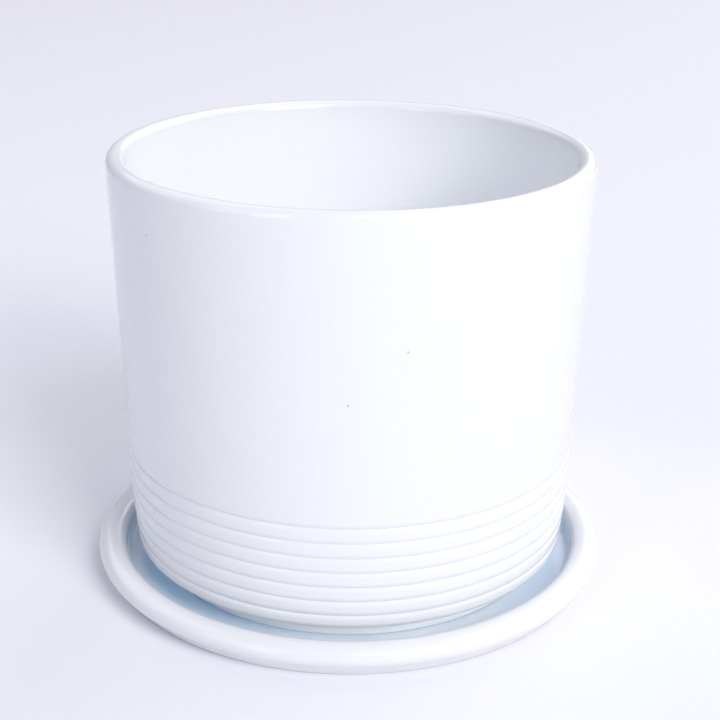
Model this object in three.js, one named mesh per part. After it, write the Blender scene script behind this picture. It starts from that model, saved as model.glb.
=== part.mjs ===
// Cylindrical plant pot: a glazed pot with a band of ribs round its foot,
// standing loose in its own shallow saucer.
// Millimetres, +Z up. The table is Z = 0, and both pieces are turned about the Z axis.
// An outline is a list of points (radius, height) that closes on itself or on the axis.
import * as THREE from 'three';

// Pot body
const RIM_DIAMETER = 150;
const WAIST_DIAMETER = 143.9;
const HEEL_DIAMETER = 140.5;
const POT_HEIGHT = 134.5;
const WALL = 5.5;

// Ribs, with heights above the pot's foot
const GROOVE_COUNT = 7;
const GROOVE_PITCH = 4.86;
const GROOVE_DEPTH = 0.5;
const LAST_GROOVE_HEIGHT = 11.14;
const RIB_SQUARENESS = 3.5;

// Heel and foot ring
const HEEL_ROUND = 2.3;
const UNDERSIDE_SLOPE_DEGREES = 25;
const FOOT_DIAMETER = 125.2;
const FOOT_HEIGHT = 3.7;
const FOOT_RING_WIDTH = 6.6;
const FOOT_RECESS = 2.2;
const FOOT_BEVEL = 0.3;

// Floor of the pot
const FLOOR_THICKNESS = 6;
const FLOOR_FILLET = 10;
const DRAIN_DIAMETER = 18;
const DRAIN_EDGE_ROUND = 1;

// Saucer
const WELL_GAP = 4.35;
const SAUCER_RIM_WIDTH = 8.9;
const SAUCER_HEIGHT = 10.4;
const SAUCER_FLOOR = 3.2;
const SAUCER_FLARE = 4.2;
const SAUCER_SIDE_DEGREES = 54;
const SAUCER_CROWN = 3.4;
const WELL_FILLET = 2.3;
const SAUCER_EDGE_ROUND = 0.9;
const SAUCER_FOOT_WIDTH = 12.5;
const SAUCER_RECESS = 0.5;

// Facets
const TURN_STEPS = 72;
const ARC_STEPS = 5;
const SMALL_ARC_STEPS = 2;
const RIB_STEPS = 4;
const SAME_POINT = 1e-6;

// Share of a curve's chord that each of its two tangents reaches
const ROUND_PULL = 0.39;
const GENTLE_PULL = 0.33;

// Radii and heights that follow from the sizes above
const rimRadius = RIM_DIAMETER / 2;
const waistRadius = WAIST_DIAMETER / 2;
const heelRadius = HEEL_DIAMETER / 2;
const footRadius = FOOT_DIAMETER / 2;
const drainRadius = DRAIN_DIAMETER / 2;
const lipRadius = WALL / 2;
const footZ = SAUCER_FLOOR;
const lipZ = footZ + POT_HEIGHT - lipRadius;
const lastGrooveZ = footZ + LAST_GROOVE_HEIGHT;
const heelZ = lastGrooveZ - GROOVE_PITCH / 2;
const firstGrooveZ = lastGrooveZ + (GROOVE_COUNT - 1) * GROOVE_PITCH;
const shoulderZ = firstGrooveZ + GROOVE_PITCH / 2;
const wellRadius = bodyRadius(SAUCER_HEIGHT) + WELL_GAP;
const saucerRadius = wellRadius + SAUCER_RIM_WIDTH;
const bulgeZ = SAUCER_HEIGHT - SAUCER_CROWN;

const point = (radius, height) => new THREE.Vector2(radius, height);

function arc(centreRadius, centreHeight, radius, fromDegrees, toDegrees, steps) {
  const start = THREE.MathUtils.degToRad(fromDegrees);
  const end = THREE.MathUtils.degToRad(toDegrees);
  const clockwise = toDegrees < fromDegrees;
  return new THREE.EllipseCurve(
    centreRadius, centreHeight, radius, radius, start, end, clockwise,
  ).getPoints(steps);
}

// A smooth curve that leaves its start and reaches its end along the given
// directions: 0 degrees is outwards, and 90 is up.
function sweep(start, startDegrees, end, endDegrees, pull = ROUND_PULL) {
  const reach = pull * start.distanceTo(end);
  const along = (degrees) => {
    const angle = THREE.MathUtils.degToRad(degrees);
    return point(reach * Math.cos(angle), reach * Math.sin(angle));
  };
  const startPull = start.clone().add(along(startDegrees));
  const endPull = end.clone().sub(along(endDegrees));
  return new THREE.CubicBezierCurve(start, startPull, endPull, end).getPoints(ARC_STEPS);
}

// Two neighbouring stretches of an outline share their end point, which is kept once.
function joined(...stretches) {
  const points = [];
  for (const next of stretches.flat()) {
    const last = points.at(-1);
    if (!last || last.distanceTo(next) > SAME_POINT) points.push(next);
  }
  return points;
}

// Outer radius of the pot without its grooves: a straight taper from the lip
// to the first groove, then a stretch that draws in gently to the heel. Carried on
// down to the saucer's crest, it is what the saucer's well is measured from.
function bodyRadius(z) {
  if (z > firstGrooveZ) {
    const share = (lipZ - z) / (lipZ - firstGrooveZ);
    return THREE.MathUtils.lerp(rimRadius, waistRadius, share);
  }
  const share = (firstGrooveZ - z) / (firstGrooveZ - heelZ);
  return waistRadius - (waistRadius - heelRadius) * share ** 2;
}

// Grooves cut the body at an even pitch, and each rib between two of them is
// nearly flat in the middle and rounds over at its edges.
function ribbedRadius(z) {
  const fromGroove = (firstGrooveZ - z) / GROOVE_PITCH;
  const acrossRib = 2 * (fromGroove - Math.floor(fromGroove)) - 1;
  return bodyRadius(z) - GROOVE_DEPTH * Math.abs(acrossRib) ** RIB_SQUARENESS;
}

// From the shoulder down to the middle of the last rib, where the heel starts.
function ribs() {
  const points = [];
  for (let step = 0; step < GROOVE_COUNT * RIB_STEPS; step += 1) {
    const z = shoulderZ - step * GROOVE_PITCH / RIB_STEPS;
    points.push(point(ribbedRadius(z), z));
  }
  return points;
}

// The last rib rounds under, and from there the underside slopes in to the foot ring.
function heel() {
  const end = UNDERSIDE_SLOPE_DEGREES - 90;
  return arc(heelRadius - HEEL_ROUND, heelZ, HEEL_ROUND, 0, end, ARC_STEPS);
}

function footRing() {
  const innerRadius = footRadius - FOOT_RING_WIDTH;
  return [
    point(footRadius, footZ + FOOT_HEIGHT),
    point(footRadius, footZ + FOOT_BEVEL),
    point(footRadius - FOOT_BEVEL, footZ),
    point(innerRadius + FOOT_BEVEL, footZ),
    point(innerRadius, footZ + FOOT_BEVEL),
    point(innerRadius, footZ + FOOT_RECESS),
  ];
}

function potInside() {
  const underZ = footZ + FOOT_RECESS;
  const floorZ = underZ + FLOOR_THICKNESS;
  const edge = drainRadius + DRAIN_EDGE_ROUND;
  const filletZ = floorZ + FLOOR_FILLET;
  const insideRadius = bodyRadius(filletZ) - WALL;
  return joined(
    arc(edge, underZ + DRAIN_EDGE_ROUND, DRAIN_EDGE_ROUND, 270, 180, SMALL_ARC_STEPS),
    arc(edge, floorZ - DRAIN_EDGE_ROUND, DRAIN_EDGE_ROUND, 180, 90, SMALL_ARC_STEPS),
    arc(insideRadius - FLOOR_FILLET, filletZ, FLOOR_FILLET, 270, 360, ARC_STEPS),
    [point(waistRadius - WALL, firstGrooveZ)],
  );
}

// The stretches run down the outside and up the inside. The lathe turns the list
// the other way round, so that its faces look outwards.
function potOutline() {
  const lip = arc(rimRadius - lipRadius, lipZ, lipRadius, 180, 0, 2 * ARC_STEPS);
  return joined(lip, ribs(), heel(), footRing(), potInside(), [lip[0].clone()]).reverse();
}

function saucerOutline() {
  const footOuter = saucerRadius - SAUCER_FLARE - SAUCER_EDGE_ROUND;
  const recessRadius = footOuter - SAUCER_FOOT_WIDTH;
  const side = SAUCER_SIDE_DEGREES;
  const edge = arc(footOuter, SAUCER_EDGE_ROUND, SAUCER_EDGE_ROUND, -90, side - 90, SMALL_ARC_STEPS);
  const bulge = point(saucerRadius, bulgeZ);
  const crest = point(saucerRadius - SAUCER_RIM_WIDTH / 2, SAUCER_HEIGHT);
  const wellTop = point(wellRadius, bulgeZ);
  const fillet = Math.min(WELL_FILLET, bulgeZ - SAUCER_FLOOR);
  return joined(
    [point(0, SAUCER_RECESS), point(recessRadius, SAUCER_RECESS)],
    [point(recessRadius + SAUCER_RECESS, 0)],
    edge,
    sweep(edge.at(-1), side, bulge, 90, GENTLE_PULL),
    sweep(bulge, 90, crest, 180),
    sweep(crest, 180, wellTop, 270),
    arc(wellRadius - fillet, SAUCER_FLOOR + fillet, fillet, 0, -90, ARC_STEPS),
    [point(0, SAUCER_FLOOR)],
  );
}

// A lathe turns its outline about Y, so the finished solid is tipped up onto Z.
function turned(name, outline, material) {
  const geometry = new THREE.LatheGeometry(outline, TURN_STEPS);
  geometry.rotateX(Math.PI / 2);
  const mesh = new THREE.Mesh(geometry, material);
  mesh.name = name;
  return mesh;
}

const potGlaze = new THREE.MeshStandardMaterial({ color: '#e7e8f1', roughness: 0.12, metalness: 0 });
const saucerGlaze = new THREE.MeshStandardMaterial({ color: '#e3e5f0', roughness: 0.12, metalness: 0 });

const plantPot = new THREE.Group();
plantPot.add(turned('saucer', saucerOutline(), saucerGlaze));
plantPot.add(turned('pot', potOutline(), potGlaze));

export default plantPot;
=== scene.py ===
"""Ribbed cylindrical plant pot in its saucer, dressed in a cool white glaze.

Each piece is turned: a closed section, worked out in millimetres, is carried once
round the Z axis. The section's sizes start from the CAD frame, so the dressed pot
stays the size of the pot that it replaces.
"""
import logging
import math
from dataclasses import dataclass, field
from enum import Enum

import bpy
import numpy as np
from mathutils import Matrix, Vector


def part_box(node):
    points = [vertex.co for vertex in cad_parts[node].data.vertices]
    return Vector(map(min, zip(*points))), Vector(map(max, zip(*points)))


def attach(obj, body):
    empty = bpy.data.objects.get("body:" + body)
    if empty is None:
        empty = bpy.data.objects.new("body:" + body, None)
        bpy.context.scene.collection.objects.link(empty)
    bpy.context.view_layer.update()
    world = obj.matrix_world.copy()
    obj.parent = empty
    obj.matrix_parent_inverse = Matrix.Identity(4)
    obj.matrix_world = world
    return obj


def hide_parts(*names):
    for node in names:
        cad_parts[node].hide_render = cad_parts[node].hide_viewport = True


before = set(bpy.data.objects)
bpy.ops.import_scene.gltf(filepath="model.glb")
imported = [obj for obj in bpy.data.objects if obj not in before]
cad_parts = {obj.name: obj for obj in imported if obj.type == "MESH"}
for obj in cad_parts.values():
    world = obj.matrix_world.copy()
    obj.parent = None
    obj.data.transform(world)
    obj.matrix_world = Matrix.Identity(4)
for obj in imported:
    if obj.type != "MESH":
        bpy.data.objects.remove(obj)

LOG = logging.getLogger("plant_pot")

# One millimetre in metres
MM = 0.001

# Points of a section closer than this are one point, in millimetres
SAME_POINT = 1e-4

# A point with a smaller radius than this lies on the axis, in millimetres
ON_AXIS = 1e-6

# Middle value of a Noise node
NOISE_MEAN = 0.5

# Share of a speck's radius that its full mask takes up
SPECK_CORE = 0.35

# Height of the glaze's fine waves, as a share of its broad ones
FINE_WAVES = 0.12

Colour = tuple[float, float, float]
Place = tuple[float, float, float]
Point = tuple[float, float]


class Heading(Enum):
    """Direction of travel along a section, in degrees: 0 is outwards, 90 is up."""

    UP = 90.0
    IN = 180.0
    DOWN = 270.0


class Coat(Enum):
    """Which finish a stretch of a section carries, as its clay mask and its mask for the paler
    inside copy of the glaze, which is painted light.
    """

    GLAZE = (0.0, 0.0)
    CLAY = (1.0, 0.0)
    # Paler copy of the glaze, painted light: hollows and undersides are lightened in place of
    # the light that reaches them
    LIT_INSIDE = (0.0, 1.0)


@dataclass
class Section:
    """A stretch of outline: its points, its finish, and how much deep blue it carries, from
    glaze pools and from painted shade.

    Args:
        points: radius and height in millimetres, one row for each point.
        coat: the finish of the stretch.
        pool_shade_amount: how much deep blue it carries, 0 on a plain wall and 1 or more where
            it is bluest; part is glaze that pools, part is painted shade under the pot and round
            its foot.
    """

    points: np.ndarray
    coat: Coat = Coat.GLAZE
    # Deep blue from glaze pools and from painted shade
    pool_shade_amount: float | np.ndarray = 0.0

    def masks(self) -> np.ndarray:
        """Work out the masks of the stretch.

        Returns:
            Each point's clay mask, its amount of glaze pool and painted shade, and its mask for
            the paler inside copy of the glaze, which is painted light, as three columns.
        """
        count = len(self.points)
        clay, lit_inside = self.coat.value
        pool_shade_amount = np.broadcast_to(self.pool_shade_amount, (count,))
        return np.column_stack([np.full(count, clay), pool_shade_amount, np.full(count, lit_inside)])


def straight(start: Point, end: Point, steps: int) -> np.ndarray:
    """Work out a straight stretch, as start plus an even share of the way to end.

    Args:
        start: radius and height of the first point.
        end: radius and height of the last point.
        steps: number of steps between them.

    Returns:
        The points, one row each.
    """
    share = np.linspace(0.0, 1.0, steps + 1)[:, None]
    return np.array(start) + share * (np.array(end) - np.array(start))


def arc(centre: Point, radius: float, start: float, end: float, steps: int) -> np.ndarray:
    """Work out a round stretch: centre plus radius times the cosine and sine of the angle.

    Args:
        centre: radius and height of the arc's centre.
        radius: the arc's own radius.
        start: first angle in degrees, 0 outwards and 90 up.
        end: last angle in degrees.
        steps: number of steps between them.

    Returns:
        The points, one row each.
    """
    angle = np.radians(np.linspace(start, end, steps + 1))
    return np.array(centre) + radius * np.column_stack([np.cos(angle), np.sin(angle)])


def sweep(
    start: Point, leaving: float, end: Point, arriving: float, steps: int, pull: float = 0.39
) -> np.ndarray:
    """Work out a cubic Bezier that leaves and arrives along the given headings.

    The two inner control points lie a share of the chord along each heading, and the
    four are blended with the weights of the cubic.

    Args:
        start: radius and height of the first point.
        leaving: heading at the start, in degrees.
        end: radius and height of the last point.
        arriving: heading at the end, in degrees.
        steps: number of steps along the curve.
        pull: share of the chord that each tangent reaches.

    Returns:
        The points, one row each.
    """
    first, last = np.array(start), np.array(end)
    reach = pull * np.linalg.norm(last - first)
    angles = np.radians([leaving, arriving])
    tangents = reach * np.column_stack([np.cos(angles), np.sin(angles)])
    share = np.linspace(0.0, 1.0, steps + 1)[:, None]
    rest = 1.0 - share
    return (
        rest**3 * first
        + 3.0 * rest**2 * share * (first + tangents[0])
        + 3.0 * rest * share**2 * (last - tangents[1])
        + share**3 * last
    )


def chained(stretches: list[Section]) -> tuple[np.ndarray, np.ndarray]:
    """Join stretches end to end, keeping each shared end point once.

    The first point is compared with the last, so a section that closes on itself has no
    point twice, and one from axis to axis keeps both its ends.

    Args:
        stretches: the stretches in order along the section.

    Returns:
        The points and their masks, row for row.
    """
    points = np.concatenate([stretch.points for stretch in stretches])
    masks = np.concatenate([stretch.masks() for stretch in stretches])
    gap = np.linalg.norm(np.diff(points, axis=0, prepend=points[-1:]), axis=1)
    keep = gap > SAME_POINT
    return points[keep], masks[keep]


def smoothed(values: np.ndarray, passes: int) -> np.ndarray:
    """Soften a ring of values: each pass averages a value with its two neighbours.

    Args:
        values: one row for each point of a closed section.
        passes: how often to soften.

    Returns:
        The softened values.
    """
    for _ in range(passes):
        beside = np.roll(values, 1, axis=0) + np.roll(values, -1, axis=0)
        values = 0.5 * values + 0.25 * beside
    return values


@dataclass(frozen=True)
class PaintedShadeRound:
    """Painted shade round a piece: the blue is lightest where the key light falls and deepens
    away from it.

    Args:
        lit_side: where the key light falls and the blue is lightest, in degrees from +X.
        least: share of the full painted blue that lies there.
        far_side: what the opposite side adds to that share.
        flanks: what the two sides a quarter turn away add to it.
    """

    lit_side: float
    least: float
    far_side: float
    flanks: float

    def share(self, angle: np.ndarray) -> np.ndarray:
        """Work out the share of the full painted blue at each angle round the axis.

        It is the least share, plus the far side's part times (1 - cos turn) / 2, plus
        the flanks' part times (1 - cos(2 * turn)) / 2, where turn is the angle from the
        lit side.

        Args:
            angle: angles from +X, in radians.

        Returns:
            The share at each angle.
        """
        turn = angle - np.radians(self.lit_side)
        once = (1.0 - np.cos(turn)) / 2.0
        twice = (1.0 - np.cos(2.0 * turn)) / 2.0
        return self.least + self.far_side * once + self.flanks * twice


def quads_between(rings: int, turns: int, closed: bool) -> np.ndarray:
    """Number the corners of the quads between neighbouring rings.

    Each quad joins ring i to i + 1 and step j to j + 1. The steps are counted round,
    and so are the rings of a closed section.

    Args:
        rings: number of rings.
        turns: number of vertices in each ring.
        closed: whether the last ring joins the first.

    Returns:
        The vertex numbers, four for each quad.
    """
    i = np.arange(rings if closed else rings - 1)[:, None]
    j = np.arange(turns)[None, :]
    above = (i + 1) % rings
    beside = (j + 1) % turns
    return np.stack(
        [i * turns + j, i * turns + beside, above * turns + beside, above * turns + j], axis=-1
    ).reshape(-1, 4)


def fans_to_poles(rings: int, turns: int) -> np.ndarray:
    """Number the corners of the triangles that close the first and the last ring.

    The pole of the first ring is the vertex after those of all the rings, and the pole
    of the last ring follows it.

    Args:
        rings: number of rings.
        turns: number of vertices in each ring.

    Returns:
        The vertex numbers, three for each triangle.
    """
    first_pole = rings * turns
    around = np.arange(turns)
    after = (around + 1) % turns
    last = (rings - 1) * turns
    first_fan = np.column_stack([np.full(turns, first_pole), after, around])
    last_fan = np.column_stack([np.full(turns, first_pole + 1), last + around, last + after])
    return np.concatenate([first_fan, last_fan])


def turned_mesh(
    name: str, points: np.ndarray, masks: np.ndarray, turns: int, shade_round: PaintedShadeRound | None = None
) -> bpy.types.Object:
    """Turn a section about Z into a closed surface.

    Vertex (i, j) lies at section point i, turned by j whole steps: the radius times the
    cosine and sine of the angle, and the height. Quads join neighbouring points and
    steps. A section that starts and ends on the axis keeps one vertex for each of its
    two poles, and fans close them.

    Args:
        name: name of the new object.
        points: section points in millimetres, anticlockwise, closed or from axis to axis.
        masks: clay mask, amount of glaze pool and painted shade, and mask of the paler inside
            copy, which is painted light, of each section point.
        turns: number of steps round the axis.
        shade_round: painted shade that deepens the blue round the axis, away from where the key
            light falls. With none it is the same all round.

    Returns:
        The object, with its place in its mesh and its masks as a colour attribute.
    """
    poles = abs(points[0, 0]) < ON_AXIS
    rings = points[1:-1] if poles else points
    ring_masks = masks[1:-1] if poles else masks
    angle = np.linspace(0.0, 2.0 * np.pi, turns, endpoint=False)
    radius = rings[:, :1]
    height = np.broadcast_to(rings[:, 1:], (len(rings), turns))
    grid = np.stack([radius * np.cos(angle), radius * np.sin(angle), height], axis=-1)
    vertices = grid.reshape(-1, 3)
    colours = np.repeat(ring_masks, turns, axis=0)
    if shade_round is not None:
        # Painted shade: the blue deepens away from where the key light falls
        colours[:, 1] *= np.tile(shade_round.share(angle), len(rings))

    quads = quads_between(len(rings), turns, not poles)
    corners = quads.ravel()
    starts = np.arange(len(quads)) * 4
    if poles:
        ends = np.array([[0.0, 0.0, points[0, 1]], [0.0, 0.0, points[-1, 1]]])
        vertices = np.concatenate([vertices, ends])
        colours = np.concatenate([colours, masks[[0, -1]]])
        fans = fans_to_poles(len(rings), turns)
        starts = np.concatenate([starts, len(corners) + np.arange(len(fans)) * 3])
        corners = np.concatenate([corners, fans.ravel()])

    mesh = bpy.data.meshes.new(name)
    mesh.vertices.add(len(vertices))
    mesh.vertices.foreach_set("co", (vertices * MM).astype(np.float32).ravel())
    mesh.loops.add(len(corners))
    mesh.loops.foreach_set("vertex_index", corners.astype(np.int32))
    mesh.polygons.add(len(starts))
    mesh.polygons.foreach_set("loop_start", starts.astype(np.int32))
    mesh.update(calc_edges=True)
    mesh.validate()
    mesh.shade_smooth()

    layer = mesh.attributes.new("glaze_masks", "FLOAT_COLOR", "POINT")
    rgba = np.column_stack([colours, np.ones(len(colours))])
    layer.data.foreach_set("color", rgba.astype(np.float32).ravel())

    piece = bpy.data.objects.new(name, mesh)
    bpy.context.scene.collection.objects.link(piece)
    return piece


@dataclass(frozen=True)
class Speck:
    """A pinhole or iron speck in the glaze.

    Args:
        azimuth: degrees round the pot, -90 at the side that faces the camera.
        height: millimetres above the table.
        radius: distance from the axis, in millimetres.
        size: its own radius, in millimetres.
    """

    azimuth: float
    height: float
    radius: float
    size: float

    def place(self) -> Place:
        """Return the speck's centre in metres."""
        angle = math.radians(self.azimuth)
        return (
            self.radius * math.cos(angle) * MM,
            self.radius * math.sin(angle) * MM,
            self.height * MM,
        )


def new_group(name: str, inputs: dict[str, str], outputs: dict[str, str]) -> bpy.types.NodeTree:
    """Make an empty shader node group with named sockets.

    Args:
        name: the group's name.
        inputs: socket name to socket type.
        outputs: socket name to socket type.

    Returns:
        The group, with its input and output nodes in place.
    """
    group = bpy.data.node_groups.new(name, "ShaderNodeTree")
    for direction, sockets in (("INPUT", inputs), ("OUTPUT", outputs)):
        for label, kind in sockets.items():
            group.interface.new_socket(name=label, in_out=direction, socket_type=kind)
    group.nodes.new("NodeGroupInput")
    group.nodes.new("NodeGroupOutput")
    return group


def ends_of(group: bpy.types.NodeTree) -> tuple[bpy.types.Node, bpy.types.Node]:
    """Return a group's input and output nodes."""
    return group.nodes["Group Input"], group.nodes["Group Output"]


def math_node(
    tree: bpy.types.NodeTree, operation: str, first: object, second: object = None
) -> bpy.types.NodeSocket:
    """Add a Math node and return its result.

    Args:
        tree: the tree that takes the node.
        operation: Blender's name for the operation.
        first: a socket or a number.
        second: a socket, a number, or None for an operation with one operand.

    Returns:
        The node's output socket.
    """
    node = tree.nodes.new("ShaderNodeMath")
    node.operation = operation
    for socket, value in zip(node.inputs, (first, second)):
        if isinstance(value, bpy.types.NodeSocket):
            tree.links.new(value, socket)
        elif value is not None:
            socket.default_value = value
    return node.outputs[0]


def mix_colour(
    tree: bpy.types.NodeTree, factor: object, first: object, second: object
) -> bpy.types.NodeSocket:
    """Add a colour Mix node and return its result.

    Args:
        tree: the tree that takes the node.
        factor: a socket or a number, 0 for the first colour and 1 for the second.
        first: a socket or a colour.
        second: a socket or a colour.

    Returns:
        The node's colour output.
    """
    node = tree.nodes.new("ShaderNodeMix")
    node.data_type = "RGBA"
    for label, value in (("Factor_Float", factor), ("A_Color", first), ("B_Color", second)):
        socket = next(s for s in node.inputs if s.identifier == label)
        if isinstance(value, bpy.types.NodeSocket):
            tree.links.new(value, socket)
        elif label == "Factor_Float":
            socket.default_value = value
        else:
            socket.default_value = (*value, 1.0)
    return next(s for s in node.outputs if s.identifier == "Result_Color")


def ramp_between(
    tree: bpy.types.NodeTree, value: bpy.types.NodeSocket, low: object, high: object
) -> bpy.types.NodeSocket:
    """Add a Map Range node that rises smoothly from 0 at low to 1 at high.

    Args:
        tree: the tree that takes the node.
        value: the value to map.
        low: a socket or a number that gives 0.
        high: a socket or a number that gives 1.

    Returns:
        The node's output socket.
    """
    node = tree.nodes.new("ShaderNodeMapRange")
    node.interpolation_type = "SMOOTHSTEP"
    tree.links.new(value, node.inputs["Value"])
    for label, limit in (("From Min", low), ("From Max", high)):
        if isinstance(limit, bpy.types.NodeSocket):
            tree.links.new(limit, node.inputs[label])
        else:
            node.inputs[label].default_value = limit
    return node.outputs["Result"]


def noise_node(
    tree: bpy.types.NodeTree, place: bpy.types.NodeSocket, size_mm: float, detail: float
) -> bpy.types.NodeSocket:
    """Add a Noise node whose blotches are about a given size.

    Args:
        tree: the tree that takes the node.
        place: the position to read, in metres.
        size_mm: size of a blotch in millimetres.
        detail: number of finer octaves.

    Returns:
        The noise value, about 0.5 on average.
    """
    node = tree.nodes.new("ShaderNodeTexNoise")
    node.inputs["Scale"].default_value = 1.0 / (size_mm * MM)
    node.inputs["Detail"].default_value = detail
    tree.links.new(place, node.inputs["Vector"])
    return node.outputs["Fac"]


def build_pinhole_group() -> bpy.types.NodeTree:
    """Build the group that masks one round speck.

    The mask is 1 at the speck's centre and falls smoothly to 0 at its own radius.

    Returns:
        The group.
    """
    group = new_group(
        "pinhole",
        {"Place": "NodeSocketVector", "Centre": "NodeSocketVector", "Size": "NodeSocketFloat"},
        {"Mask": "NodeSocketFloat"},
    )
    start, end = ends_of(group)
    gap = group.nodes.new("ShaderNodeVectorMath")
    gap.operation = "DISTANCE"
    group.links.new(start.outputs["Place"], gap.inputs[0])
    group.links.new(start.outputs["Centre"], gap.inputs[1])
    inner = math_node(group, "MULTIPLY", start.outputs["Size"], SPECK_CORE)
    mask = ramp_between(group, gap.outputs["Value"], start.outputs["Size"], inner)
    group.links.new(mask, end.inputs["Mask"])
    return group


def build_glaze_group() -> bpy.types.NodeTree:
    """Build the group that colours a glaze: the paler inside copy where hollows are painted
    light, deep blue for glaze pools and painted shade, and a faint cloud.

    Returns:
        The group, which puts out the colour and a surface height for a Bump node.
    """
    group = new_group(
        "glaze_film",
        {
            "Place": "NodeSocketVector",
            "Depth": "NodeSocketFloat",
            "Lit_inside": "NodeSocketFloat",
            "Thin": "NodeSocketColor",
            "Inside": "NodeSocketColor",
            "Pool_and_shade": "NodeSocketColor",
            "Cloud": "NodeSocketFloat",
        },
        {"Colour": "NodeSocketColor", "Height": "NodeSocketFloat"},
    )
    start, end = ends_of(group)
    place = start.outputs["Place"]
    cloud = noise_node(group, place, size_mm=26.0, detail=2.0)
    offset = math_node(group, "SUBTRACT", cloud, NOISE_MEAN)
    swing = math_node(group, "MULTIPLY", offset, start.outputs["Cloud"])
    pool_shade_amount = math_node(group, "ADD", start.outputs["Depth"], swing)
    clamped = group.nodes.new("ShaderNodeClamp")
    group.links.new(pool_shade_amount, clamped.inputs["Value"])
    # Painted light: hollows and undersides take the paler inside copy of the glaze
    wall = mix_colour(
        group, start.outputs["Lit_inside"], start.outputs["Thin"], start.outputs["Inside"]
    )
    # Deep blue for glaze pools and for painted shade
    colour = mix_colour(group, clamped.outputs["Result"], wall, start.outputs["Pool_and_shade"])
    group.links.new(colour, end.inputs["Colour"])
    broad = noise_node(group, place, size_mm=9.0, detail=1.0)
    fine = noise_node(group, place, size_mm=1.6, detail=1.0)
    height = math_node(group, "ADD", broad, math_node(group, "MULTIPLY", fine, FINE_WAVES))
    group.links.new(height, end.inputs["Height"])
    return group


def build_clay_group() -> bpy.types.NodeTree:
    """Build the group for bare fired clay: a warm ground with fine darker grains.

    Returns:
        The group, which puts out the colour and a surface height for a Bump node.
    """
    group = new_group(
        "fired_clay",
        {"Place": "NodeSocketVector", "Ground": "NodeSocketColor", "Grain": "NodeSocketColor"},
        {"Colour": "NodeSocketColor", "Height": "NodeSocketFloat"},
    )
    start, end = ends_of(group)
    place = start.outputs["Place"]
    speckle = noise_node(group, place, size_mm=0.7, detail=2.0)
    grains = ramp_between(group, speckle, low=0.56, high=0.7)
    colour = mix_colour(group, grains, start.outputs["Ground"], start.outputs["Grain"])
    group.links.new(colour, end.inputs["Colour"])
    height = noise_node(group, place, size_mm=0.5, detail=3.0)
    group.links.new(height, end.inputs["Height"])
    return group


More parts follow.
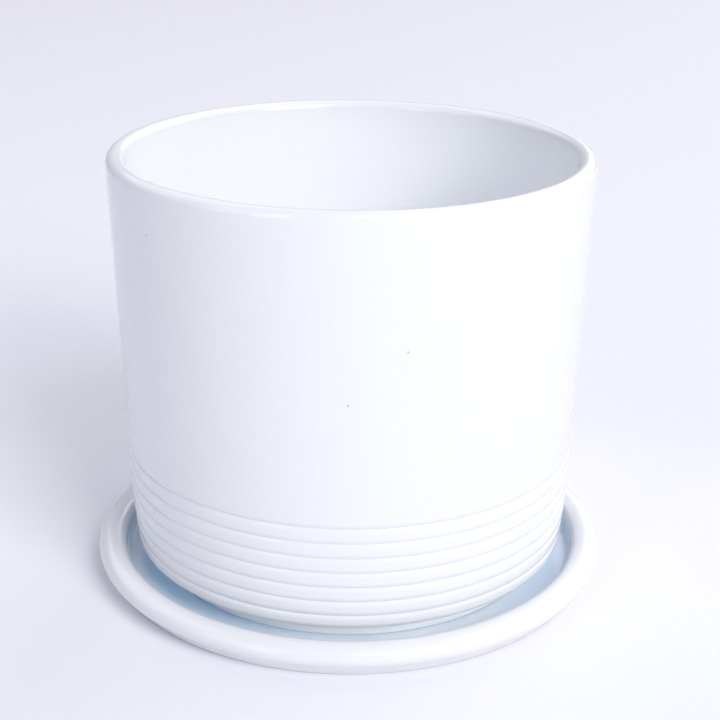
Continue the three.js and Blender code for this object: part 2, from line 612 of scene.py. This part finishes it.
@dataclass(frozen=True)
class Glaze:
    """A glossy glaze over stoneware, with bare clay where the piece stands.

    Args:
        name: name of the material.
        thin: colour of the glaze on a plain wall.
        inside: colour of a paler copy of the glaze inside the vessel, in the well and under the
            foot; it is painted light that lightens these hollows.
        pool_and_shade: colour where the glaze has run together, also used as painted shade under
            the pot, round its foot and away from the key light.
        clay: colour of the bare fired clay.
        grain: colour of the clay's darker grains.
        speck: colour of a pinhole or iron speck.
        gloss: roughness of the glaze.
        cloud: how strongly the glaze is clouded, from 0 to 1.
        ripple: height of the glaze's slow waves, in millimetres.
        index: index of refraction of the glaze.
        wander: how far noise moves the edge between glaze and clay, as a share of its mask.
        clay_starts: value of the moved mask at which the clay starts to show.
        clay_bare: value of the moved mask at which the clay is all bare.
        clay_rough: how much rougher the clay is than the glaze.
        grit: height of the clay's grains, in millimetres.
    """

    name: str
    thin: Colour = (0.82, 0.825, 0.862)
    # Painted light: paler than thin, to lighten hollows
    inside: Colour = (0.90, 0.907, 0.935)
    # Deep blue of glaze pools, also used as painted shade
    pool_and_shade: Colour = (0.37, 0.69, 0.95)
    clay: Colour = (0.66, 0.60, 0.52)
    grain: Colour = (0.42, 0.35, 0.28)
    speck: Colour = (0.40, 0.41, 0.45)
    gloss: float = 0.09
    cloud: float = 0.05
    ripple: float = 0.02
    index: float = 1.52
    wander: float = 0.5
    clay_starts: float = 0.7
    clay_bare: float = 0.8
    clay_rough: float = 0.75
    grit: float = 0.12

    def material(
        self, groups: dict[str, bpy.types.NodeTree], specks: list[Speck]
    ) -> bpy.types.Material:
        """Build the material.

        The section's own masks say where the clay is bare, how much glaze pool and painted shade
        lies there, and where the paler inside copy goes, which is painted light.
        Specks are dark, and the bump follows the glaze or the clay.

        Args:
            groups: the shared node groups by name.
            specks: the pinholes and specks of this piece.

        Returns:
            The material.
        """
        material = bpy.data.materials.new(self.name)
        material.use_nodes = True
        tree = material.node_tree
        shader = tree.nodes["Principled BSDF"]
        shader.inputs["IOR"].default_value = self.index

        place = tree.nodes.new("ShaderNodeTexCoord").outputs["Object"]
        masks = tree.nodes.new("ShaderNodeAttribute")
        masks.attribute_name = "glaze_masks"
        split = tree.nodes.new("ShaderNodeSeparateColor")
        tree.links.new(masks.outputs["Color"], split.inputs["Color"])

        glaze = tree.nodes.new("ShaderNodeGroup")
        glaze.node_tree = groups["glaze_film"]
        glaze.inputs["Thin"].default_value = (*self.thin, 1.0)
        glaze.inputs["Inside"].default_value = (*self.inside, 1.0)
        glaze.inputs["Pool_and_shade"].default_value = (*self.pool_and_shade, 1.0)
        glaze.inputs["Cloud"].default_value = self.cloud
        tree.links.new(place, glaze.inputs["Place"])
        tree.links.new(split.outputs["Green"], glaze.inputs["Depth"])
        tree.links.new(split.outputs["Blue"], glaze.inputs["Lit_inside"])

        clay = tree.nodes.new("ShaderNodeGroup")
        clay.node_tree = groups["fired_clay"]
        clay.inputs["Ground"].default_value = (*self.clay, 1.0)
        clay.inputs["Grain"].default_value = (*self.grain, 1.0)
        tree.links.new(place, clay.inputs["Place"])

        noise = noise_node(tree, place, size_mm=3.0, detail=2.0)
        shift = math_node(tree, "MULTIPLY", noise, self.wander)
        edge = math_node(tree, "ADD", split.outputs["Red"], shift)
        bare = ramp_between(tree, edge, self.clay_starts, self.clay_bare)

        colour = glaze.outputs["Colour"]
        for speck in specks:
            pinhole = tree.nodes.new("ShaderNodeGroup")
            pinhole.node_tree = groups["pinhole"]
            pinhole.inputs["Centre"].default_value = speck.place()
            pinhole.inputs["Size"].default_value = speck.size * MM
            tree.links.new(place, pinhole.inputs["Place"])
            colour = mix_colour(tree, pinhole.outputs["Mask"], colour, self.speck)
        colour = mix_colour(tree, bare, colour, clay.outputs["Colour"])
        tree.links.new(colour, shader.inputs["Base Color"])

        rougher = math_node(tree, "MULTIPLY", bare, self.clay_rough)
        rough = math_node(tree, "ADD", rougher, self.gloss)
        tree.links.new(rough, shader.inputs["Roughness"])

        ripple = tree.nodes.new("ShaderNodeBump")
        ripple.inputs["Distance"].default_value = self.ripple * MM
        tree.links.new(glaze.outputs["Height"], ripple.inputs["Height"])
        grit = tree.nodes.new("ShaderNodeBump")
        grit.inputs["Distance"].default_value = self.grit * MM
        tree.links.new(clay.outputs["Height"], grit.inputs["Height"])
        tree.links.new(bare, grit.inputs["Strength"])
        tree.links.new(ripple.outputs["Normal"], grit.inputs["Normal"])
        tree.links.new(grit.outputs["Normal"], shader.inputs["Normal"])
        return material


@dataclass
class Pot:
    """The ribbed pot: lip, tapered wall, ribs, heel, foot ring, floor and drain hole.

    Sizes are in millimetres, and heights are above the pot's own foot. The rim's
    radius, the foot's height above the table and the overall height come from the frame.
    A field that ends in glaze says how deep the glaze lies on that stretch, from 0 to 1. A field
    that ends in shade paints the same deep blue as shade on the underside and the foot, darkest
    in the crevice where the foot meets the saucer.
    """

    node: str = "pot"
    body: str = "pot_body"
    turns: int = 240
    waist_radius: float = 71.95
    heel_radius: float = 70.25
    wall: float = 5.5
    groove_count: int = 7
    groove_pitch: float = 4.86
    groove_depth: float = 0.5
    last_groove: float = 11.14
    rib_squareness: float = 3.5
    rib_steps: int = 22
    heel_round: float = 2.3
    underside_slope: float = 25.0
    foot_radius: float = 62.6
    foot_height: float = 3.7
    foot_ring: float = 6.6
    foot_recess: float = 2.2
    foot_round: float = 0.6
    floor: float = 6.0
    floor_fillet: float = 10.0
    drain_radius: float = 9.0
    drain_round: float = 1.0
    groove_glaze: float = 0.12
    # Painted shade: bluer under the heel and on the foot ring, darkest at its edge on the saucer
    underside_shade: float = 0.2
    foot_side_shade: float = 0.1
    foot_edge_shade: float = 0.6
    recess_side_glaze: float = 0.4
    recess_glaze: float = 0.3
    floor_glaze: float = 0.1
    fillet_glaze: float = 0.12
    softening: int = 2
    specks: list[Speck] = field(
        default_factory=lambda: [
            Speck(-90.5, 82.5, 73.25, 0.42),
            Speck(-77.7, 98.0, 73.77, 0.42),
            Speck(-140.3, 123.3, 74.61, 0.36),
            Speck(-146.4, 32.4, 71.74, 0.45),
            Speck(-46.3, 14.8, 70.54, 0.5),
            Speck(-49.8, 13.4, 70.4, 0.35),
        ]
    )

    def __post_init__(self) -> None:
        """Read the rim, the foot and the height from the CAD frame, and work out the rest."""
        low, high = (np.array(corner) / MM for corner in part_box(self.node))
        self.rim_radius = (high[0] - low[0]) / 2.0
        self.foot_z = low[2]
        self.lip_radius = self.wall / 2.0
        self.lip_z = high[2] - self.lip_radius
        self.last_groove_z = self.foot_z + self.last_groove
        self.first_groove_z = self.last_groove_z + (self.groove_count - 1) * self.groove_pitch
        self.heel_z = self.last_groove_z - self.groove_pitch / 2.0
        self.under_z = self.foot_z + self.foot_recess
        self.floor_z = self.under_z + self.floor
        self.hole_radius = self.drain_radius + self.drain_round

    def body_radius(self, z: np.ndarray) -> np.ndarray:
        """Give the wall's radius without its grooves.

        Above the first groove it is a straight taper from the rim to the waist. Below,
        it draws in to the heel with the square of the way down.

        Args:
            z: heights above the table.

        Returns:
            The radius at each height.
        """
        taper = (self.lip_z - z) / (self.lip_z - self.first_groove_z)
        upper = self.rim_radius + (self.waist_radius - self.rim_radius) * taper
        drawn = np.clip((self.first_groove_z - z) / (self.first_groove_z - self.heel_z), 0, 1)
        lower = self.waist_radius - (self.waist_radius - self.heel_radius) * drawn**2
        return np.where(z > self.first_groove_z, upper, lower)

    def groove_share(self, z: np.ndarray) -> np.ndarray:
        """Give how deep a height lies in its groove, 0 mid rib and 1 at the groove's bottom.

        The share is the distance from the rib's middle, as a part of half the pitch,
        raised to the rib's squareness.

        Args:
            z: heights above the table.

        Returns:
            The share at each height.
        """
        turns = (self.first_groove_z - z) / self.groove_pitch
        across = 2.0 * (turns - np.floor(turns)) - 1.0
        return np.abs(across) ** self.rib_squareness

    def ribs(self) -> Section:
        """Work out the ribbed stretch of wall, from the shoulder down to the heel.

        The radius is that of the body, less the groove's depth times the groove share.

        Returns:
            The stretch, with a little more glaze at the bottom of each groove.
        """
        top = self.first_groove_z + self.groove_pitch / 2.0
        steps = round(self.rib_steps * (top - self.heel_z) / self.groove_pitch)
        z = np.linspace(top, self.heel_z, steps + 1)
        share = self.groove_share(z)
        radius = self.body_radius(z) - self.groove_depth * share
        return Section(np.column_stack([radius, z]), pool_shade_amount=self.groove_glaze * share**2)

    def outside(self) -> list[Section]:
        """Work out the lip, the wall and the ribs, down to where the last rib turns under.

        Returns:
            The stretches, in order from the inside of the lip.
        """
        lip = (self.rim_radius - self.lip_radius, self.lip_z)
        heel = (self.heel_radius - self.heel_round, self.heel_z)
        ribs = self.ribs()
        wall = straight((self.rim_radius, self.lip_z), tuple(ribs.points[0]), steps=24)
        return [
            Section(arc(lip, self.lip_radius, 180.0, 0.0, steps=32)),
            Section(wall),
            ribs,
            Section(arc(heel, self.heel_round, 0.0, self.underside_slope - 90.0, steps=20)),
        ]

    def foot(self, start: Point) -> list[Section]:
        """Work out the underside, the foot ring and the recess up to the drain hole.

        Args:
            start: where the last rib ends.

        Returns:
            The stretches, in order from there.
        """
        outer = self.foot_radius
        inner = outer - self.foot_ring
        top = self.foot_z + self.foot_height
        soft = self.foot_round
        low = self.foot_z + soft
        underside = straight(start, (outer, top), steps=8)
        side = straight((outer, top), (outer, low), steps=8)
        edge = arc((outer - soft, low), soft, 0.0, -90.0, steps=6)
        bottom = straight((outer - soft, self.foot_z), (inner + soft, self.foot_z), steps=12)
        inner_edge = arc((inner + soft, low), soft, -90.0, -180.0, steps=4)
        inner_side = straight((inner, low), (inner, self.under_z), steps=5)
        recess = straight((inner, self.under_z), (self.hole_radius, self.under_z), steps=16)
        return [
            # Painted shade on the underside and the foot ring, darkest in the crevice at its
            # edge
            Section(underside, Coat.LIT_INSIDE, self.underside_shade),
            Section(side, Coat.LIT_INSIDE, self.foot_side_shade),
            Section(edge, Coat.LIT_INSIDE, self.foot_edge_shade),
            Section(bottom, Coat.CLAY),
            Section(inner_edge),
            Section(inner_side, pool_shade_amount=self.recess_side_glaze),
            Section(recess, pool_shade_amount=self.recess_glaze),
        ]

    def inside(self) -> list[Section]:
        """Work out the drain hole, the floor, its fillet and the wall up to the lip.

        Returns:
            The stretches, in order from the underside.
        """
        fillet_z = self.floor_z + self.floor_fillet
        low_radius = float(self.body_radius(np.array(fillet_z))) - self.wall
        waist = (self.waist_radius - self.wall, self.first_groove_z)
        lip = (self.rim_radius - self.lip_radius - self.lip_radius, self.lip_z)
        fillet_centre = (low_radius - self.floor_fillet, fillet_z)
        hole, soft = self.hole_radius, self.drain_round
        hole_low = arc((hole, self.under_z + soft), soft, 270.0, 180.0, steps=8)
        hole_high = arc((hole, self.floor_z - soft), soft, 180.0, 90.0, steps=8)
        floor = straight((hole, self.floor_z), (fillet_centre[0], self.floor_z), steps=16)
        fillet = arc(fillet_centre, self.floor_fillet, 270.0, 360.0, steps=20)
        return [
            Section(hole_low),
            Section(hole_high, Coat.LIT_INSIDE),
            Section(floor, Coat.LIT_INSIDE, self.floor_glaze),
            Section(fillet, Coat.LIT_INSIDE, self.fillet_glaze),
            Section(straight((low_radius, fillet_z), waist, steps=8), Coat.LIT_INSIDE),
            Section(straight(waist, lip, steps=24), Coat.LIT_INSIDE),
        ]

    def section(self) -> tuple[np.ndarray, np.ndarray]:
        """Work out the closed section, down the outside and up the inside.

        Returns:
            The points, turned anticlockwise for the lathe, and their masks.
        """
        outside = self.outside()
        foot = self.foot(tuple(outside[-1].points[-1]))
        points, masks = chained(outside + foot + self.inside())
        return points[::-1], smoothed(masks, self.softening)[::-1]

    def build(self, finish: bpy.types.Material) -> bpy.types.Object:
        """Make the pot and put it in place of its CAD node.

        Args:
            finish: the glaze material.

        Returns:
            The pot's object.
        """
        points, masks = self.section()
        pot = turned_mesh("glazed_pot", points, masks, self.turns)
        pot.data.materials.append(finish)
        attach(pot, self.body)
        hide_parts(self.node)
        faces = len(pot.data.polygons)
        LOG.info("%s: %d section points, %d faces", pot.name, len(points), faces)
        return pot


@dataclass
class Saucer:
    """The saucer: a flat floor, a fat rounded rim, a flared side and a dry foot.

    Sizes are in millimetres. The saucer's width and height come from the frame. A field
    that ends in glaze says how deep the glaze lies on that stretch. On the floor it is
    open_glaze deep for open_width in from the well's wall. From there under_pot_shade
    adds painted shade over shade_width, in under the pot where its heel shades the floor.
    Nearer the axis it fades out over middle_fade, down to middle_radius, and middle_glaze is
    added all over the floor.
    shade_round paints shade round the axis: the blue is lightest where the key light falls and
    deeper away from it.
    """

    node: str = "saucer"
    body: str = "saucer_body"
    turns: int = 240
    floor: float = 3.2
    rim_width: float = 8.9
    flare: float = 4.2
    side_slope: float = 51.0
    side_round: float = 3.4
    crown: float = 3.4
    well_fillet: float = 2.3
    edge_round: float = 0.9
    foot_width: float = 12.5
    recess: float = 0.5
    open_width: float = 2.3
    shade_width: float = 5.5
    middle_radius: float = 50.0
    middle_fade: float = 9.0
    recess_glaze: float = 0.3
    wall_glaze: float = 0.3
    fillet_glaze: float = 0.5
    open_glaze: float = 0.55
    # Painted shade in under the pot
    under_pot_shade: float = 0.75
    middle_glaze: float = 0.05
    softening: int = 3
    # Painted shade round the axis: lightest near -70 degrees, towards the key light
    shade_round: PaintedShadeRound = PaintedShadeRound(lit_side=-70.0, least=0.02, far_side=0.52, flanks=0.3)

    def __post_init__(self) -> None:
        """Read the saucer's radius and height from the CAD frame."""
        low, high = (np.array(corner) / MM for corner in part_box(self.node))
        self.radius = (high[0] - low[0]) / 2.0
        self.height = high[2]
        self.well_radius = self.radius - self.rim_width

    def base(self) -> list[Section]:
        """Work out the recess, the dry foot and its rounded edge.

        Returns:
            The stretches, in order from the axis.
        """
        outer = self.radius - self.flare - self.edge_round
        inner = outer - self.foot_width
        step = inner + self.recess
        side_turn = self.side_slope - 90.0
        edge = arc((outer, self.edge_round), self.edge_round, -90.0, side_turn, steps=10)
        recess = straight((0.0, self.recess), (inner, self.recess), steps=16)
        return [
            Section(recess, pool_shade_amount=self.recess_glaze),
            Section(straight((inner, self.recess), (step, 0.0), steps=4), Coat.CLAY),
            Section(straight((step, 0.0), (outer, 0.0), steps=10), Coat.CLAY),
            Section(edge),
        ]

    def rim(self, start: Point) -> list[Section]:
        """Work out the flared side, the bulge and the crest, over to the top of the well.

        Args:
            start: where the foot's edge ends.

        Returns:
            The stretches, in order from there.
        """
        bulge_z = self.height - self.crown
        bulge = (self.radius, bulge_z)
        crest = (self.radius - self.rim_width / 2.0, self.height)
        well_top = (self.well_radius, bulge_z)
        round_centre = (self.radius - self.side_round, bulge_z)
        under_bulge = arc(round_centre, self.side_round, self.side_slope - 90.0, 0.0, steps=16)
        up, inward, down = Heading.UP.value, Heading.IN.value, Heading.DOWN.value
        return [
            Section(straight(start, tuple(under_bulge[0]), steps=8)),
            Section(under_bulge),
            Section(sweep(bulge, up, crest, inward, steps=20)),
            Section(sweep(crest, inward, well_top, down, steps=20)),
        ]

    def well(self, start: Point) -> list[Section]:
        """Work out the well's wall and fillet, and the floor in to the axis.

        Args:
            start: where the rim turns down into the well.

        Returns:
            The stretches, in order from there.
        """
        well, soft = self.well_radius, self.well_fillet
        fillet_z = self.floor + soft
        wall = straight(start, (well, fillet_z), steps=4)
        fillet = arc((well - soft, fillet_z), soft, 0.0, -90.0, steps=12)
        floor = straight((well - soft, self.floor), (0.0, self.floor), steps=60)
        radius = floor[:, 0]
        # Painted shade: the blue deepens in under the pot, where its heel shades the floor
        under_pot = np.clip((well - self.open_width - radius) / self.shade_width, 0.0, 1.0)
        ring = np.clip((radius - self.middle_radius) / self.middle_fade, 0.0, 1.0)
        pool_and_shade = (self.open_glaze + self.under_pot_shade * under_pot) * ring + self.middle_glaze
        return [
            Section(wall, Coat.LIT_INSIDE, self.wall_glaze),
            Section(fillet, Coat.LIT_INSIDE, self.fillet_glaze),
            Section(floor, Coat.LIT_INSIDE, pool_and_shade),
        ]

    def section(self) -> tuple[np.ndarray, np.ndarray]:
        """Work out the section from axis to axis, out along the base and back over the rim.

        Returns:
            The points and their masks. The masks are softened, but not on the axis.
        """
        base = self.base()
        rim = self.rim(tuple(base[-1].points[-1]))
        well_top = (self.well_radius, self.height - self.crown)
        points, masks = chained(base + rim + self.well(well_top))
        softened = smoothed(masks, self.softening)
        softened[[0, -1]] = masks[[0, -1]]
        return points, softened

    def build(self, finish: bpy.types.Material) -> bpy.types.Object:
        """Make the saucer and put it in place of its CAD node.

        Args:
            finish: the glaze material.

        Returns:
            The saucer's object.
        """
        points, masks = self.section()
        saucer = turned_mesh("glazed_saucer", points, masks, self.turns, self.shade_round)
        saucer.data.materials.append(finish)
        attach(saucer, self.body)
        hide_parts(self.node)
        faces = len(saucer.data.polygons)
        LOG.info("%s: %d section points, %d faces", saucer.name, len(points), faces)
        return saucer


@dataclass(frozen=True)
class SoftBox:
    """A rectangular studio light that faces the pot.

    Args:
        name: the light's name.
        azimuth: degrees round the pot, -90 at the camera's side and 0 at the right.
        elevation: degrees above the table.
        size: width and height in metres.
        power: output in watts.
        colour: colour of the light.
        distance: metres from the point that it faces.
    """

    name: str
    azimuth: float
    elevation: float
    size: tuple[float, float]
    power: float
    colour: Colour
    distance: float = 3.5

    def build(self, target: Vector) -> bpy.types.Object:
        """Make the light, turned to face its target.

        Args:
            target: the point that it faces.

        Returns:
            The light's object.
        """
        data = bpy.data.lights.new(self.name, "AREA")
        data.shape = "RECTANGLE"
        data.size, data.size_y = self.size
        data.energy = self.power
        data.color = self.colour
        light = bpy.data.objects.new(self.name, data)
        azimuth, elevation = math.radians(self.azimuth), math.radians(self.elevation)
        away = Vector(
            (
                math.cos(azimuth) * math.cos(elevation),
                math.sin(azimuth) * math.cos(elevation),
                math.sin(elevation),
            )
        )
        light.location = target + self.distance * away
        light.rotation_euler = away.to_track_quat("Z", "Y").to_euler()
        bpy.context.scene.collection.objects.link(light)
        return light


@dataclass
class Studio:
    """The table, the soft light and the camera.

    Places and the table's half width are in metres, the camera's angles in radians, and
    its lens and sensor in millimetres. The lights face the target, the pot's middle.
    """

    target: Place = (0.0, 0.0, 0.07)
    table_half: float = 6.0
    table_colour: Colour = (0.88, 0.87, 0.925)
    table_roughness: float = 0.9
    table_specular: float = 0.1
    sky_colour: Colour = (0.90, 0.93, 1.0)
    sky_strength: float = 0.6
    exposure: float = -0.12
    gamma: float = 1.1
    camera_place: Place = (0.0, -0.45263, 0.24341)
    camera_pitch: float = 0.37035
    camera_pan: float = 0.0069
    camera_roll: float = 0.0102
    clip_start: float = 0.01
    lens: float = 75.0
    sensor: float = 36.0
    lights: list[SoftBox] = field(
        default_factory=lambda: [
            SoftBox("key_window", -55.0, 27.0, (1.7, 1.0), 68.0, (1.0, 0.975, 0.90)),
            SoftBox("key_window_high", -55.0, 44.0, (1.7, 1.2), 42.0, (0.83, 0.89, 1.0)),
            SoftBox("front_ceiling", -48.0, 63.0, (3.0, 1.6), 18.0, (0.98, 0.98, 1.0)),
            SoftBox("left_pane_near", -128.0, 20.0, (0.74, 1.5), 13.0, (0.92, 0.98, 1.0)),
            SoftBox("left_pane_near_high", -126.0, 43.5, (0.5, 1.1), 4.5, (1.0, 1.0, 0.98)),
            SoftBox("left_pane_far", -150.0, 20.0, (0.9, 1.5), 9.0, (0.68, 0.78, 1.0)),
            SoftBox("left_pane_high", -150.0, 43.0, (1.4, 1.2), 6.0, (0.68, 0.72, 1.0)),
            SoftBox("left_wall", 180.0, 45.0, (3.0, 2.2), 4.0, (0.70, 0.72, 1.0)),
            SoftBox("left_back", 138.0, 45.0, (3.5, 2.5), 30.0, (1.0, 0.96, 1.0)),
            SoftBox("back_high", 85.0, 60.0, (3.2, 1.8), 11.0, (0.96, 0.97, 1.0)),
            SoftBox("right_back_low", 58.0, 18.0, (3.0, 1.5), 15.0, (0.94, 0.95, 1.0)),
            SoftBox("right_back", 43.0, 46.0, (3.9, 2.8), 49.0, (0.87, 0.88, 1.0)),
            SoftBox("right_low", 28.0, 18.0, (3.0, 1.4), 13.0, (0.94, 0.98, 1.0)),
        ]
    )

    def build_table(self) -> bpy.types.Object:
        """Make the plain pale table top, a single square at height 0.

        Returns:
            The table's object.
        """
        half = self.table_half
        mesh = bpy.data.meshes.new("table_top")
        corners = [(x * half, y * half, 0.0) for x, y in ((-1, -1), (1, -1), (1, 1), (-1, 1))]
        mesh.from_pydata(corners, [], [(0, 1, 2, 3)])
        table = bpy.data.objects.new("table_top", mesh)
        material = bpy.data.materials.new("matte_table")
        material.use_nodes = True
        shader = material.node_tree.nodes["Principled BSDF"]
        shader.inputs["Base Color"].default_value = (*self.table_colour, 1.0)
        shader.inputs["Roughness"].default_value = self.table_roughness
        shader.inputs["Specular IOR Level"].default_value = self.table_specular
        mesh.materials.append(material)
        bpy.context.scene.collection.objects.link(table)
        return table

    def build_sky(self) -> None:
        """Put pale walls round the room, which only the gloss of the glaze picks up."""
        world = bpy.data.worlds.new("soft_room")
        world.use_nodes = True
        background = world.node_tree.nodes["Background"]
        background.inputs["Color"].default_value = (*self.sky_colour, 1.0)
        background.inputs["Strength"].default_value = self.sky_strength
        world.cycles_visibility.diffuse = False
        bpy.context.scene.world = world

    def build_camera(self) -> bpy.types.Object:
        """Make the camera: in front of the pot, looking down at it, rolled a little.

        Returns:
            The camera's object.
        """
        pitch, pan, roll = self.camera_pitch, self.camera_pan, self.camera_roll
        forward = Vector(
            (math.sin(pan) * math.cos(pitch), math.cos(pan) * math.cos(pitch), -math.sin(pitch))
        )
        level = forward.cross(Vector((0.0, 0.0, 1.0))).normalized()
        upright = level.cross(forward)
        right = math.cos(roll) * level + math.sin(roll) * upright
        up = math.cos(roll) * upright - math.sin(roll) * level
        data = bpy.data.cameras.new("camera")
        data.sensor_width = self.sensor
        data.lens = self.lens
        data.clip_start = self.clip_start
        camera = bpy.data.objects.new("camera", data)
        turn = Matrix((right, up, -forward)).transposed()
        camera.matrix_world = Matrix.Translation(Vector(self.camera_place)) @ turn.to_4x4()
        bpy.context.scene.collection.objects.link(camera)
        bpy.context.scene.camera = camera
        return camera

    def build(self) -> None:
        """Make the whole studio round the pot, and set how the picture is shown."""
        self.build_table()
        self.build_sky()
        for light in self.lights:
            light.build(Vector(self.target))
        self.build_camera()
        view = bpy.context.scene.view_settings
        view.view_transform = "Standard"
        view.look = "None"
        view.exposure = self.exposure
        view.gamma = self.gamma
        LOG.info("studio: %d lights", len(self.lights))


def main() -> None:
    """Build the pot, the saucer and the studio, in that order."""
    logging.basicConfig(level=logging.INFO, format="%(name)s %(message)s")
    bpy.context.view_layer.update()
    groups = {
        "pinhole": build_pinhole_group(),
        "glaze_film": build_glaze_group(),
        "fired_clay": build_clay_group(),
    }
    pot = Pot()
    saucer = Saucer()
    pot.build(Glaze("pot_glaze").material(groups, pot.specks))
    saucer.build(Glaze("saucer_glaze").material(groups, []))
    Studio().build()


if __name__ == "__main__":
    main()
